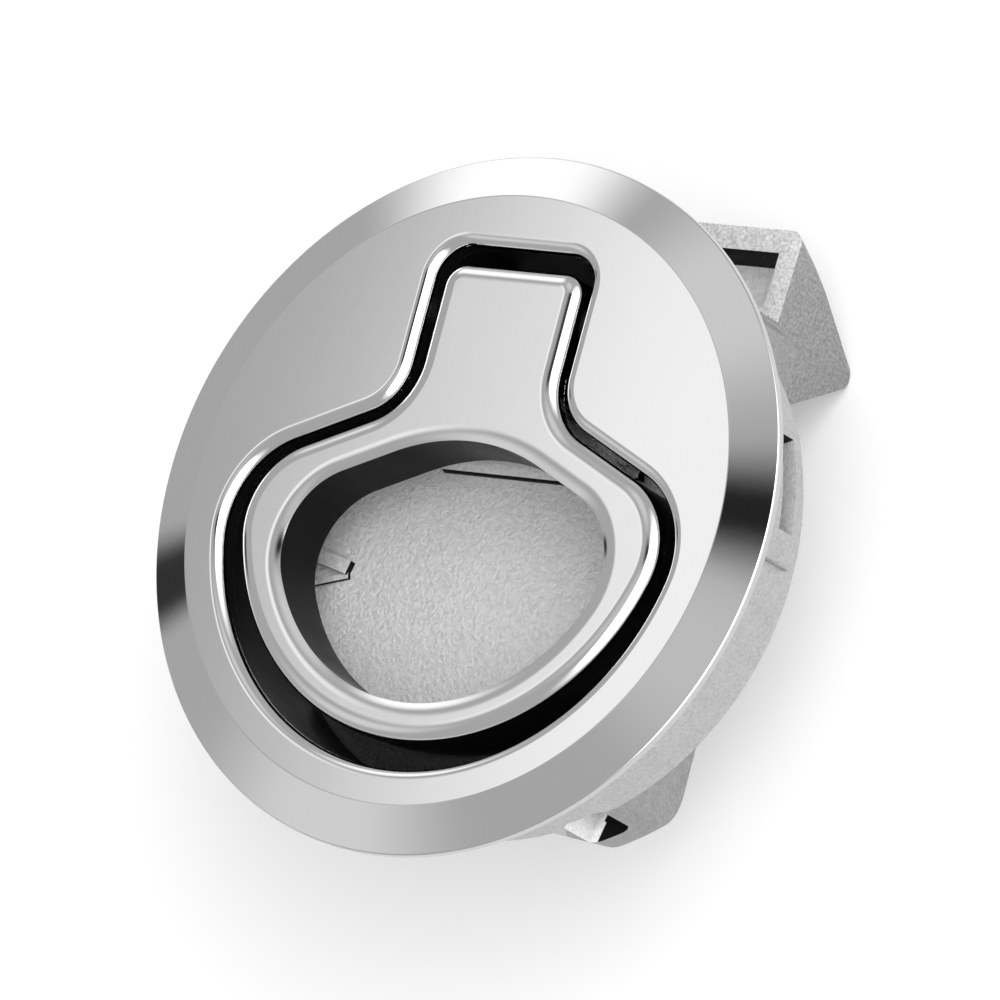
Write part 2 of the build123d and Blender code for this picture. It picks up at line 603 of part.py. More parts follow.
PARTS = {
    "latch_body": latch_body(),
    "pull_handle": pull_handle(),
    "hinge_pin": headed_pin(PIN_R, PIN_HEAD_R, -WELL_OUT, WELL_OUT, PIN_Y, PIN_Z),
    "hinge_pin_clip": retaining_ring(PIN_R, -WELL_OUT, PIN_Y, PIN_Z),
    "handle_spring": handle_spring(),
    "latch_bolt": latch_bolt(),
    "guide_pin": headed_pin(GUIDE_R, GUIDE_HEAD_R, -CHEEK_OUT, CHEEK_OUT, GUIDE_Y, GUIDE_Z),
    "guide_pin_clip": retaining_ring(GUIDE_R, -CHEEK_OUT, GUIDE_Y, GUIDE_Z),
    "bolt_spring_left": bolt_spring(-SPRING_X),
    "bolt_spring_right": bolt_spring(SPRING_X),
    "spring_cover": spring_cover(),
    "cover_screw_left": cover_screw(-SCREW_X),
    "cover_screw_right": cover_screw(SCREW_X),
}

for name, part in PARTS.items():
    export_step(part, f"parts/{name}.step")
    size = part.bounding_box().size
    count = len(part.solids())
    print(f"{name}: {count} solid, {part.volume:.1f} mm3, {size.X:.1f} x {size.Y:.1f} x {size.Z:.1f}")
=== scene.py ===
# %% [markdown]
# A flush slam latch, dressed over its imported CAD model. The latch is three stainless castings with a few
# turned and wound parts between them. The CAD model already holds every size, so this script is about
# surfaces: which ones are mirror bright, which are grainy, and how round their edges really are.

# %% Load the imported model
from math import acos, atan2, ceil, cos, degrees, hypot, pi, radians, sin, tan

import bmesh
import bpy
from mathutils import Matrix, Vector
from mathutils.geometry import delaunay_2d_cdt


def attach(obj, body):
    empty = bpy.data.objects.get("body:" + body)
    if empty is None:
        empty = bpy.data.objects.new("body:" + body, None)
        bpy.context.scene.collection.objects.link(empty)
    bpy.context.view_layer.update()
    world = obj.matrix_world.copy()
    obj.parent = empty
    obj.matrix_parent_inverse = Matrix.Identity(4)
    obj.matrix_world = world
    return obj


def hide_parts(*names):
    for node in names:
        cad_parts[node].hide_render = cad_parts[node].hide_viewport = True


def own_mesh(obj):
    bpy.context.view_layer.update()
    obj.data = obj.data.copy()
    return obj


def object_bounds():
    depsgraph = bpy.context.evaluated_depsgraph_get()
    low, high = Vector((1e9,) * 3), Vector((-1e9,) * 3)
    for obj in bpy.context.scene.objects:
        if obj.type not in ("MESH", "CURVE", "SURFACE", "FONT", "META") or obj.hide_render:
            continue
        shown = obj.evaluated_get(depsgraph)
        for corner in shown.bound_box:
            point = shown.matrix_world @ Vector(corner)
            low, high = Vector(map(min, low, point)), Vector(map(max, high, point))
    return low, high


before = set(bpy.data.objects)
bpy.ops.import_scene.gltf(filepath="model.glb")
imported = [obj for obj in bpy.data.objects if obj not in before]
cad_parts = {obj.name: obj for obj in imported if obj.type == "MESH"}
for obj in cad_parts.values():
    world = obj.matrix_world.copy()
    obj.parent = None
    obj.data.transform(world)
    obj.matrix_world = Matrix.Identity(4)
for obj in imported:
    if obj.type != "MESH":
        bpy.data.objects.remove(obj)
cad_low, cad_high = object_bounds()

MM = 0.001
TOWARDS = 0.5  # a face points some way where its direction goes that way by more than this
NEAR = 0.05  # in millimetres, from a face to the surface that it lies on
scene = bpy.context.scene
print("CAD nodes:", len(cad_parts), "box in mm:", [round(side / MM, 1) for side in cad_high - cad_low])

# %% [markdown]
# The camera stands where the photographer stood. Three directions give its turn: right, up, and back
# towards the camera. A long lens from a good metre away keeps the round plate from looking like an egg,
# which a short lens close by would do.

# %% Camera
CAMERA_RIGHT = Vector((0.8141, 0.2466, -0.5260))
CAMERA_UP = Vector((-0.0874, 0.9470, 0.3089))
CAMERA_DISTANCE = 1.2
VIEW_WIDTH = 82.75 * MM  # what the square picture takes in, at the latch
SENSOR = 36.0

right = CAMERA_RIGHT.normalized()
back = right.cross(CAMERA_UP).normalized()
up = back.cross(right)
target = (2.694 * right + 0.513 * up) * MM

camera_data = bpy.data.cameras.new("camera")
camera_data.sensor_width = SENSOR
camera_data.lens = SENSOR * CAMERA_DISTANCE / VIEW_WIDTH
camera_data.clip_start = 0.05
camera_data.clip_end = 50
camera = bpy.data.objects.new("camera", camera_data)
turn = Matrix((right, up, back)).transposed().to_4x4()
camera.matrix_world = Matrix.Translation(target + back * CAMERA_DISTANCE) @ turn
scene.collection.objects.link(camera)
scene.camera = camera
scene.view_settings.view_transform = "Standard"
print("lens", round(camera_data.lens), "mm")

# %% [markdown]
# Polished metal has almost no look of its own: it shows the room. So the light here is a room painted on
# the sky, made of soft-edged panels, each with a direction, a reach along the three axes and a brightness.
# Where no panel lies the room is a plain grey. Most of the light comes from a large panel and a smaller,
# brighter one on the right, and two small dark gaps draw the dark patches on the bevel. Later panels cover
# earlier ones. Lamps could do the same, but a painted sky gives soft edges for nothing.

# %% The room in the sky
def add_node(tree, kind, **settings):
    """A shader node with its properties set."""
    made = tree.nodes.new(kind)
    for name, value in settings.items():
        setattr(made, name, value)
    return made


def panel(tree, direction, before, centre, reach, soft, level):
    """Lays one soft-edged panel over the brightness before it, and returns the new brightness."""
    offset = add_node(tree, "ShaderNodeVectorMath", operation="SUBTRACT")
    tree.links.new(direction, offset.inputs[0])
    offset.inputs[1].default_value = centre
    scaled = add_node(tree, "ShaderNodeVectorMath", operation="DIVIDE")
    tree.links.new(offset.outputs[0], scaled.inputs[0])
    scaled.inputs[1].default_value = reach
    away = add_node(tree, "ShaderNodeVectorMath", operation="LENGTH")
    tree.links.new(scaled.outputs[0], away.inputs[0])
    fade = add_node(tree, "ShaderNodeMapRange", interpolation_type="SMOOTHSTEP")
    tree.links.new(away.outputs["Value"], fade.inputs["Value"])
    fade.inputs["From Min"].default_value = 1 + soft
    fade.inputs["From Max"].default_value = max(0.0, 1 - soft)
    mix = add_node(tree, "ShaderNodeMix", data_type="FLOAT")
    tree.links.new(fade.outputs["Result"], mix.inputs["Factor"])
    tree.links.new(before, mix.inputs["A"])
    mix.inputs["B"].default_value = level
    return mix.outputs["Result"]


PANELS = [
    # centre, reach along X, Y and Z, softness, brightness
    ((0.80, 0.05, 0.50), (0.62, 0.95, 0.75), 0.30, 1.60),  # the large panel on the right
    ((0.45, 0.00, 0.88), (0.24, 0.60, 0.30), 0.30, 4.00),  # the key light, high on the right
    ((0.00, -0.05, 1.00), (0.30, 0.16, 0.30), 0.60, 0.56),  # overhead
    ((-0.68, -0.33, 0.66), (0.22, 0.22, 0.30), 0.70, 0.70),  # low panel in front, on the left
    ((-0.61, 0.67, 0.42), (0.19, 0.19, 0.26), 0.55, 1.15),  # bright panel behind, on the left
    ((-0.515, 0.20, 0.835), (0.075, 0.22, 0.13), 0.65, 1.00),  # small panel that lights the face
    ((-0.15, 0.60, 0.78), (0.20, 0.26, 0.20), 0.60, 0.66),  # panel behind, for the bevel's upper right
    ((0.09, 0.25, 0.96), (0.17, 0.095, 0.16), 0.75, 0.015),  # the dark gap overhead
    ((-0.96, 0.065, 0.27), (0.10, 0.055, 0.12), 0.50, 0.03),  # a dark gap low on the left
]
ROOM_GREY = 0.42  # brightness where no panel lies

world = bpy.data.worlds.new("studio")
world.use_nodes = True
scene.world = world
sky = world.node_tree
ray = add_node(sky, "ShaderNodeTexCoord")
start = add_node(sky, "ShaderNodeValue")
start.outputs[0].default_value = ROOM_GREY
brightness = start.outputs[0]
for centre, reach, soft, level in PANELS:
    brightness = panel(sky, ray.outputs["Generated"], brightness, centre, reach, soft, level)
background = sky.nodes["Background"]
background.inputs["Color"].default_value = (1.0, 1.0, 1.0, 1)
sky.links.new(brightness, background.inputs["Strength"])
print("panels in the sky:", len(PANELS))

# %% [markdown]
# The floor is a plain pale sheet just under the latch. Its own glow, seen by the camera and in
# reflections, lifts it to white, and the light that falls on it still shows the latch's soft shadow.
# From below it lets the view through, so that the back of the latch can be looked at.

# %% Floor
FLOOR_HALF = 6.0  # half its width, in metres
FLOOR_GAP = 0.2 * MM  # from the latch's lowest point
FLOOR_GREY = 0.88
FLOOR_ROUGHNESS = 0.9
FLOOR_GLOW = 0.20
FLOOR_CORNERS = ((-1, -1), (1, -1), (1, 1), (-1, 1))

floor_mesh = bpy.data.meshes.new("floor")
floor_z = cad_low.z - FLOOR_GAP
corners = [(x * FLOOR_HALF, y * FLOOR_HALF, floor_z) for x, y in FLOOR_CORNERS]
floor_mesh.from_pydata(corners, [], [(0, 1, 2, 3)])
floor = bpy.data.objects.new("floor", floor_mesh)
scene.collection.objects.link(floor)

floor_finish = bpy.data.materials.new("pale floor")
floor_finish.use_nodes = True
tree = floor_finish.node_tree
paper = tree.nodes["Principled BSDF"]
paper.inputs["Base Color"].default_value = (FLOOR_GREY, FLOOR_GREY, FLOOR_GREY, 1)
paper.inputs["Roughness"].default_value = FLOOR_ROUGHNESS
paper.inputs["Emission Color"].default_value = (1, 1, 1, 1)
path = add_node(tree, "ShaderNodeLightPath")
seen = add_node(tree, "ShaderNodeMath", operation="MAXIMUM")
tree.links.new(path.outputs["Is Camera Ray"], seen.inputs[0])
tree.links.new(path.outputs["Is Glossy Ray"], seen.inputs[1])
glow = add_node(tree, "ShaderNodeMath", operation="MULTIPLY")
tree.links.new(seen.outputs[0], glow.inputs[0])
glow.inputs[1].default_value = FLOOR_GLOW
tree.links.new(glow.outputs[0], paper.inputs["Emission Strength"])
side = add_node(tree, "ShaderNodeNewGeometry")
clear = add_node(tree, "ShaderNodeBsdfTransparent")
one_way = add_node(tree, "ShaderNodeMixShader")
tree.links.new(side.outputs["Backfacing"], one_way.inputs["Fac"])
tree.links.new(paper.outputs[0], one_way.inputs[1])
tree.links.new(clear.outputs[0], one_way.inputs[2])
tree.links.new(one_way.outputs[0], tree.nodes["Material Output"].inputs["Surface"])
floor_mesh.materials.append(floor_finish)
print("floor at", round(floor_z / MM, 2), "mm")

# %% [markdown]
# Steel comes in a handful of finishes here, and one helper makes them all. What tells them apart is how
# rough they are, how that roughness wanders, and how deep and how fine their grain is. Each grain is a
# noise read from object coordinates in metres, so a scale of 1000 gives specks about a millimetre wide.
# Four of the finishes aren't pure metal. The walls of the cup and of the finger hole lie in deep shade, so
# "painted shade wall" is painted shade: a dark, dull coat on walls that are plain steel. The cup's floor,
# the small recesses and the bolt's strike face catch the light and look paler than bare steel, so theirs is
# painted light: mostly a white one, with real grain.

# %% Finishes
PATCH_SHARE = 0.12  # scale of the patches in which the roughness wanders, as a share of the grain's


def steel(
    name, colour, roughness, wander, grain, depth, stretch=(1, 1, 1), tint=0.0, metallic=1.0, shine=0.5
):
    """A finish whose roughness wanders by a share, and whose grain has a scale and a depth in mm."""
    made = bpy.data.materials.new(name)
    made.use_nodes = True
    nodes = made.node_tree
    shader = nodes.nodes["Principled BSDF"]
    shader.inputs["Metallic"].default_value = metallic
    shader.inputs["Specular IOR Level"].default_value = shine
    place = add_node(nodes, "ShaderNodeTexCoord")
    shape = add_node(nodes, "ShaderNodeMapping")
    shape.inputs["Scale"].default_value = stretch
    nodes.links.new(place.outputs["Object"], shape.inputs["Vector"])

    patches = add_node(nodes, "ShaderNodeTexNoise")
    patches.inputs["Scale"].default_value = grain * PATCH_SHARE
    patches.inputs["Detail"].default_value = 3
    nodes.links.new(shape.outputs[0], patches.inputs["Vector"])
    rough = add_node(nodes, "ShaderNodeMapRange")
    rough.inputs["From Min"].default_value = 0.35
    rough.inputs["From Max"].default_value = 0.65
    rough.inputs["To Min"].default_value = roughness * (1 - wander)
    rough.inputs["To Max"].default_value = roughness * (1 + wander)
    nodes.links.new(patches.outputs["Fac"], rough.inputs["Value"])
    nodes.links.new(rough.outputs["Result"], shader.inputs["Roughness"])

    specks = add_node(nodes, "ShaderNodeTexNoise")
    specks.inputs["Scale"].default_value = grain
    specks.inputs["Detail"].default_value = 4
    specks.inputs["Roughness"].default_value = 0.6
    nodes.links.new(shape.outputs[0], specks.inputs["Vector"])
    ramp = add_node(nodes, "ShaderNodeValToRGB")
    ramp.color_ramp.elements[0].position = 0.3
    ramp.color_ramp.elements[0].color = (*[c * (1 - tint) for c in colour], 1)
    ramp.color_ramp.elements[1].position = 0.7
    ramp.color_ramp.elements[1].color = (*colour, 1)
    nodes.links.new(specks.outputs["Fac"], ramp.inputs["Fac"])
    nodes.links.new(ramp.outputs["Color"], shader.inputs["Base Color"])

    bump = add_node(nodes, "ShaderNodeBump")
    bump.inputs["Strength"].default_value = 1.0
    bump.inputs["Distance"].default_value = depth * MM
    nodes.links.new(specks.outputs["Fac"], bump.inputs["Height"])
    nodes.links.new(bump.outputs["Normal"], shader.inputs["Normal"])
    return made


WHITE = (1.0, 1.0, 1.0)
MIRROR = (0.87, 0.87, 0.875)

FINISH = {
    "face polish": steel("face polish", MIRROR, 0.07, 0.30, 160, 0.004),
    "handle polish": steel("handle polish", MIRROR, 0.09, 0.30, 160, 0.004),
    "turned rim": steel("turned rim", (0.55, 0.55, 0.555), 0.25, 0.20, 700, 0.004, stretch=(1, 1, 6)),
    # painted shade: near black where the walls of the cup, hole, slots and pocket fall in shade
    "painted shade wall": steel(
        "painted shade wall", (0.006, 0.006, 0.006), 0.34, 0.25, 900, 0.01, metallic=0.0, shine=0.06
    ),
    # painted light: the cup's floor is the same casting, made white because light falls on it; its grain is
    # real
    "cup floor": steel("cup floor", WHITE, 0.42, 0.20, 2700, 0.240, tint=0.22, metallic=0.1),
    # painted light: floors and jambs of small recesses, made pale where light falls; their grain is real
    "painted light recess": steel("painted light recess", WHITE, 0.42, 0.20, 3200, 0.090, tint=0.25, metallic=0.25),
    "blasted casting": steel(
        "blasted casting", (0.56, 0.555, 0.56), 0.44, 0.15, 3400, 0.070, tint=0.26
    ),
    # painted shade: cheeks, ears and legs, made darker than the casting where less light reaches them
    "cheek and leg painted shade": steel("cheek and leg painted shade", (0.40, 0.40, 0.40), 0.46, 0.15, 3400, 0.080, tint=0.30),
    # painted light: the bolt's up-facing strike face, made near white; its grain is real
    "bolt strike painted light": steel(
        "bolt strike painted light", (0.95, 0.95, 0.95), 0.42, 0.15, 3400, 0.160, tint=0.50, metallic=0.1
    ),
    # painted shade: the same casting on the bolt's flanks, made darker; its grain is real
    "bolt flank painted shade": steel("bolt flank painted shade", (0.44, 0.44, 0.44), 0.44, 0.15, 3400, 0.160, tint=0.50),
    "turned steel": steel("turned steel", (0.62, 0.62, 0.63), 0.24, 0.20, 700, 0.006, stretch=(6, 1, 1)),
    "spring wire": steel("spring wire", (0.34, 0.34, 0.35), 0.28, 0.20, 1500, 0.004, tint=0.2),
    "rolled sheet": steel(
        "rolled sheet", (0.60, 0.60, 0.61), 0.30, 0.20, 900, 0.005, stretch=(0.08, 1, 1)
    ),
}
print("finishes:", ", ".join(FINISH))

# %% [markdown]
# Under the ring's tip the cup lies in shade, and the pale floor would shine through the gap there. So shade
# is painted into the floor's colour by place: a map range turns the distance along Y into a share, and the
# share scales the colour that was already there. This painted shade too is a choice for the looks, and the
# real part may well have one finish all along.

# %% Painted shade at the end of the cup's floor
DARK_FROM = -14.9  # where the floor starts to darken, along Y
DARK_TO = -16.0  # and where it is darkest
DARKEST = 0.03  # share of its colour that is left there


def paint_end_shade(material):
    """Paints shade into a material towards one end of the cup."""
    tree = material.node_tree
    shader = tree.nodes["Principled BSDF"]
    before = shader.inputs["Base Color"].links[0].from_socket
    place = add_node(tree, "ShaderNodeTexCoord")
    parts = add_node(tree, "ShaderNodeSeparateXYZ")
    tree.links.new(place.outputs["Object"], parts.inputs[0])
    share = add_node(tree, "ShaderNodeMapRange", interpolation_type="SMOOTHSTEP")
    share.inputs["From Min"].default_value = DARK_TO * MM
    share.inputs["From Max"].default_value = DARK_FROM * MM
    share.inputs["To Min"].default_value = DARKEST
    share.inputs["To Max"].default_value = 1.0
    tree.links.new(parts.outputs["Y"], share.inputs["Value"])
    scaled = add_node(tree, "ShaderNodeVectorMath", operation="SCALE")
    tree.links.new(before, scaled.inputs[0])
    tree.links.new(share.outputs["Result"], scaled.inputs["Scale"])
    tree.links.new(scaled.outputs[0], shader.inputs["Base Color"])


paint_end_shade(FINISH["cup floor"])
print("cup floor darkens between", DARK_FROM, "and", DARK_TO, "mm along Y")

# %% [markdown]
# The cup in the plate and the handle in the cup share one outline: a round bowl under two sloping
# shoulders, with a straight neck. Traced by hand it would wobble, and chrome shows every wobble. So it is
# worked out from circles and straight lines, one half at a time, with the outward direction kept at each
# point. That direction makes every lip and rounding afterwards a simple step sideways.

# %% Outline helpers
STEP = 0.34  # spacing of the outline's points, in millimetres
TURN_STEP = 4  # and the most that an arc turns between two of them, in degrees
SLOPE = radians(24)  # slope of the shoulders
FACING = pi / 2 - SLOPE  # which way a shoulder faces


def add_arc(loop, centre, radius, begin, end, hollow=False):
    """Adds an arc's points, without its last one. A hollow arc faces its own centre."""
    turn = abs(end - begin)
    count = max(2, ceil(radius * turn / STEP), ceil(degrees(turn) / TURN_STEP))
    for i in range(count):
        a = begin + (end - begin) * i / count
        x = centre[0] + radius * cos(a)
        y = centre[1] + radius * sin(a)
        sign = -1 if hollow else 1
        loop.append((x, y, sign * cos(a), sign * sin(a)))


def add_line(loop, begin, end, facing):
    """Adds a straight run's points, without its last one."""
    count = max(1, ceil(hypot(end[0] - begin[0], end[1] - begin[1]) / STEP))
    for i in range(count):
        t = i / count
        x = begin[0] + (end[0] - begin[0]) * t
        y = begin[1] + (end[1] - begin[1]) * t
        loop.append((x, y, cos(facing), sin(facing)))


def add_bowl(loop, radius, centre_y, apex, corner):
    """Adds half the bowl and its round shoulder. Returns where the straight shoulder starts."""
    drop = (apex - centre_y) * cos(SLOPE) - corner
    angle = FACING - acos(drop / (radius - corner))
    middle = ((radius - corner) * cos(angle), centre_y + (radius - corner) * sin(angle))
    add_arc(loop, (0, centre_y), radius, -pi / 2, angle)
    add_arc(loop, middle, corner, angle, FACING)
    return middle[0] + corner * cos(FACING), middle[1] + corner * sin(FACING)


def mirrored(half, top):
    """A whole loop from its right half, which starts on the axis, and its top point."""
    left = [(-x, y, -nx, ny) for x, y, nx, ny in reversed(half[1:])]
    return half + [(0, top, 0, 1)] + left


def keyhole(bowl_r, bowl_y, apex, neck, neck_end, corner, flare, shoulder):
    """The outline of cup or handle, as points with their outward directions."""
    half = []
    begin = add_bowl(half, bowl_r, bowl_y, apex, shoulder)
    flare_y = apex + (flare - sin(SLOPE) * (neck + flare)) / cos(SLOPE)
    end = (neck + flare - flare * cos(FACING), flare_y - flare * sin(FACING))
    add_line(half, begin, end, FACING)
    add_arc(half, (neck + flare, flare_y), flare, FACING + pi, pi, hollow=True)
    add_line(half, (neck, flare_y), (neck, neck_end - corner), 0)
    add_arc(half, (neck - corner, neck_end - corner), corner, 0, pi / 2)
    add_line(half, (neck - corner, neck_end), (0, neck_end), pi / 2)
    return mirrored(half, neck_end)


def moved(loop, sideways):
    """The loop's points, each moved along its outward direction."""
    return [(x + nx * sideways, y + ny * sideways) for x, y, nx, ny in loop]


BOWL_R = 22.85
BOWL_Y = -0.45
SHOULDER_Y = 11.7
NECK_HALF = 7.95
NECK_END = 21.9
CUP_CORNER = 3.0  # corners at the neck's end
CUP_FLARE = 5.0  # hollow corners between neck and shoulders
CUP_SHOULDER = 8.0  # round shoulders
lean = cos(SLOPE)
cup = keyhole(BOWL_R, BOWL_Y, SHOULDER_Y, NECK_HALF, NECK_END, CUP_CORNER, CUP_FLARE, CUP_SHOULDER)
print("points round the cup:", len(cup))

# %% [markdown]
# The face plate is one skin from the cup's mouth, over the crowned face and the bevel, to the rim and
# back underneath. Each ring of points has the same count, so plain quads join them. Just beside every
# rounding lies one extra ring: it stops the rounding's shading from bleeding into the mirror next to it.

# %% Face plate
FACE_R = 30.4
BEVEL_R = 26.5  # where the bevel begins
EDGE_BAND = 0.6  # height of the upright rim
FACE_EDGE = 2.1  # height of the face at the bevel
FACE_CROWN = 0.3  # how much higher its middle is
LIP_R = 1.0  # rounding of the cup's mouth
LIP_STEPS = 9
PROFILE_START = 0.6  # the profile of the bevel and rim starts this far inside the bevel
EDGE_SOFT = 0.45  # rounding of the bevel's inner edge
RIM_SOFT = 0.22  # rounding of the rim
GUARD = 0.06  # from a rounding to the ring that keeps its shading in
FACE_RINGS = 12


def crown(x, y):
    """Height of the crowned face."""
    return FACE_EDGE + FACE_CROWN * (1 - (x * x + y * y) / BEVEL_R ** 2)


def rounded(points, radii, steps=5):
    """A profile with its inner corners rounded: each radius belongs to one corner."""
    made = [points[0]]
    for i, radius in enumerate(radii, 1):
        p = Vector(points[i])
        to_last = (Vector(points[i - 1]) - p).normalized()
        to_next = (Vector(points[i + 1]) - p).normalized()
        half = to_last.angle(to_next) / 2
        reach = radius / tan(half)
        centre = p + (to_last + to_next).normalized() * radius / sin(half)
        first = p + to_last * reach - centre
        turn = first.angle_signed(p + to_next * reach - centre)
        made.append(tuple(p + to_last * (reach + GUARD)))
        for k in range(steps + 1):
            made.append(tuple(centre + first @ Matrix.Rotation(turn * k / steps, 2)))
        made.append(tuple(p + to_next * (reach + GUARD)))
    return made + [points[-1]]


def join_rings(bm, rings, closed=False):
    """Quads between rings of points, which all have the same count."""
    rows = [[bm.verts.new(Vector(p) * MM) for p in ring] for ring in rings]
    pairs = list(zip(rows, rows[1:]))
    if closed:
        pairs.append((rows[-1], rows[0]))
    for a, b in pairs:
        for i in range(len(a)):
            j = (i + 1) % len(a)
            bm.faces.new((a[i], a[j], b[j], b[i]))


def finish_mesh(bm, name, *finishes, sharp=35):
    """Turns a closed bmesh into an object in some finishes, with smooth shading and sharp corners."""
    bmesh.ops.recalc_face_normals(bm, faces=bm.faces)
    mesh = bpy.data.meshes.new(name)
    bm.to_mesh(mesh)
    bm.free()
    kept_normals = mesh.attributes.get("custom_normal")
    if kept_normals:  # the CAD node's own normals no longer fit once it is cut
        mesh.attributes.remove(kept_normals)
    mesh.shade_smooth()
    mesh.set_sharp_from_angle(angle=radians(sharp))
    for finish in finishes:
        mesh.materials.append(FINISH[finish])
    made = bpy.data.objects.new(name, mesh)
    scene.collection.objects.link(made)
    print(name, len(mesh.polygons), "faces")
    return made


def plate_rings():
    """All rings of the face plate, from the cup's wall outwards and back underneath."""
    rings = [[(x, y, 0) for x, y, _, _ in cup]]
    rings.append([(x, y, crown(x, y) - LIP_R - GUARD) for x, y, _, _ in cup])
    for k in range(LIP_STEPS + 1):
        a = pi / 2 * k / LIP_STEPS
        out = LIP_R * (1 - cos(a))
        rings.append([(x, y, crown(x, y) - LIP_R + LIP_R * sin(a)) for x, y in moved(cup, out)])
    mouth = moved(cup, LIP_R + GUARD)
    angles = [atan2(y, x) for x, y in mouth]
    start_r = BEVEL_R - PROFILE_START
    corners = [(start_r, crown(start_r, 0)), (BEVEL_R, FACE_EDGE), (FACE_R, EDGE_BAND), (FACE_R, 0)]
    profile = rounded(corners, [EDGE_SOFT, RIM_SOFT])
    inner_r = profile[0][0]
    for k in range(FACE_RINGS + 1):
        t = k / FACE_RINGS
        ring = []
        for (x, y), a in zip(mouth, angles):
            px = x + (inner_r * cos(a) - x) * t
            py = y + (inner_r * sin(a) - y) * t
            ring.append((px, py, crown(px, py)))
        rings.append(ring)
    for r, z in profile[1:]:
        rings.append([(r * cos(a), r * sin(a), z) for a in angles])
    return rings


bm = bmesh.new()
join_rings(bm, plate_rings(), closed=True)
PLATE_SHADE_WALL = 1  # finishes of the plate, by their place in its list
PLATE_RIM = 2
plate = finish_mesh(bm, "face_plate", "face polish", "painted shade wall", "turned rim")
for face in plate.data.polygons:
    middle = face.center / MM
    radius = hypot(middle.x, middle.y)
    # the cup's wall inside the lip gets painted shade, the rim its turned finish
    if abs(face.normal.z) < TOWARDS and radius < BEVEL_R and middle.z < FACE_EDGE - LIP_R:
        face.material_index = PLATE_SHADE_WALL
    elif middle.z < EDGE_BAND and radius > BEVEL_R:
        face.material_index = PLATE_RIM

# %% [markdown]
# Behind the plate the casting keeps its blasted skin, and its shape is already exact in the CAD model.
# So this piece is a copy of that node with its loose triangles merged, and with the plate cut off. One
# helper does this, and the handle's underside uses it too. The casting is one metal all over, but light and
# shade are painted into its faces by place and slope, to match the look of the photo: painted light on the
# cup's floor, the slots' ledges and the windows' outward jambs, and painted shade on the cup's walls, the
# rest of the slots and windows, and the cheeks, ears and legs.

# %% Copies of CAD nodes
MERGE = 0.0005 * MM  # points of a CAD node that lie closer than this are one


def merged_copy(node):
    """A copy of a CAD node, with its loose triangles merged."""
    bm = bmesh.new()
    bm.from_mesh(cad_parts[node].data)
    bmesh.ops.remove_doubles(bm, verts=bm.verts, dist=MERGE)
    return bm


def copy_below(node, height):
    """A merged copy of a CAD node, cut level at a height in millimetres and closed there."""
    bm = merged_copy(node)
    everything = bm.verts[:] + bm.edges[:] + bm.faces[:]
    cut = bmesh.ops.bisect_plane(
        bm, geom=everything, dist=1e-8, plane_co=(0, 0, height * MM), plane_no=(0, 0, 1), clear_outer=True
    )
    edges = [e for e in cut["geom_cut"] if isinstance(e, bmesh.types.BMEdge)]
    bmesh.ops.triangle_fill(bm, edges=edges, use_beauty=True)
    return bm


CUP_FLOOR = -9.5
BODY_R = 25.5
PLATE_CUT = -0.02  # just under the plate
PLATE_BITE = 0.05  # the copy's top goes this far up into the plate
CUT_SLACK = 0.001  # points this far below the cut still belong to the top
TOP_SLACK = 0.01  # and so do faces this far below it
CUP_BACK = -11.5  # below this height lie the cheeks and legs
CHEEK_IN = 12.75
CHEEK_OUT = 14.5
CHEEK_SLACK = 0.1
SIDEWAYS = 0.9  # a cheek's flat side points along X by more than this
LUG_SIDE_X = 22.0  # the lugs lie beyond this distance along X
LUG_SLOT_BACK = 24.4  # and their slots between these two radii and these two heights
LUG_SLOT_FRONT = 26.2
LUG_SLOT_TOP = -6.9
LUG_SLOT_BOTTOM = -9.0
WINDOW_HALF = 14.0  # the legs' windows lie nearer than this to the middle along X,
WINDOW_Y = -16.5  # beyond this distance along Y,
WINDOW_TOP = -10.6  # and between these two heights
WINDOW_BOTTOM = -15.7
WALL_SKIN = 0.3  # the outer wall's faces lie nearer than this to its radius
CUP_SLACK = 0.1  # a point this far outside the cup's outline still counts as its wall
SHOULDER_SLACK = 2.0  # and this far at the shoulders, whose corners aren't followed
OVERLAP = 0.02  # slots and windows are taken a little too high and too low

CASTING_FINISHES = ("blasted casting", "cup floor", "painted shade wall", "painted light recess", "cheek and leg painted shade")
SKIN, PAINTED_LIGHT_FLOOR, PAINTED_SHADE_WALL, PAINTED_LIGHT_RECESS, PAINTED_SHADE_CHEEK = range(5)  # and their places in this list


def inside_cup(x, y):
    """True where a point in plan lies in the cup or on its wall."""
    below_shoulders = y < SHOULDER_Y - abs(x) * tan(SLOPE) + SHOULDER_SLACK
    in_bowl = hypot(x, y - BOWL_Y) < BOWL_R + CUP_SLACK and below_shoulders
    in_neck = abs(x) < NECK_HALF + CUP_SLACK and -1 < y < NECK_END + CUP_SLACK
    return in_bowl or in_neck


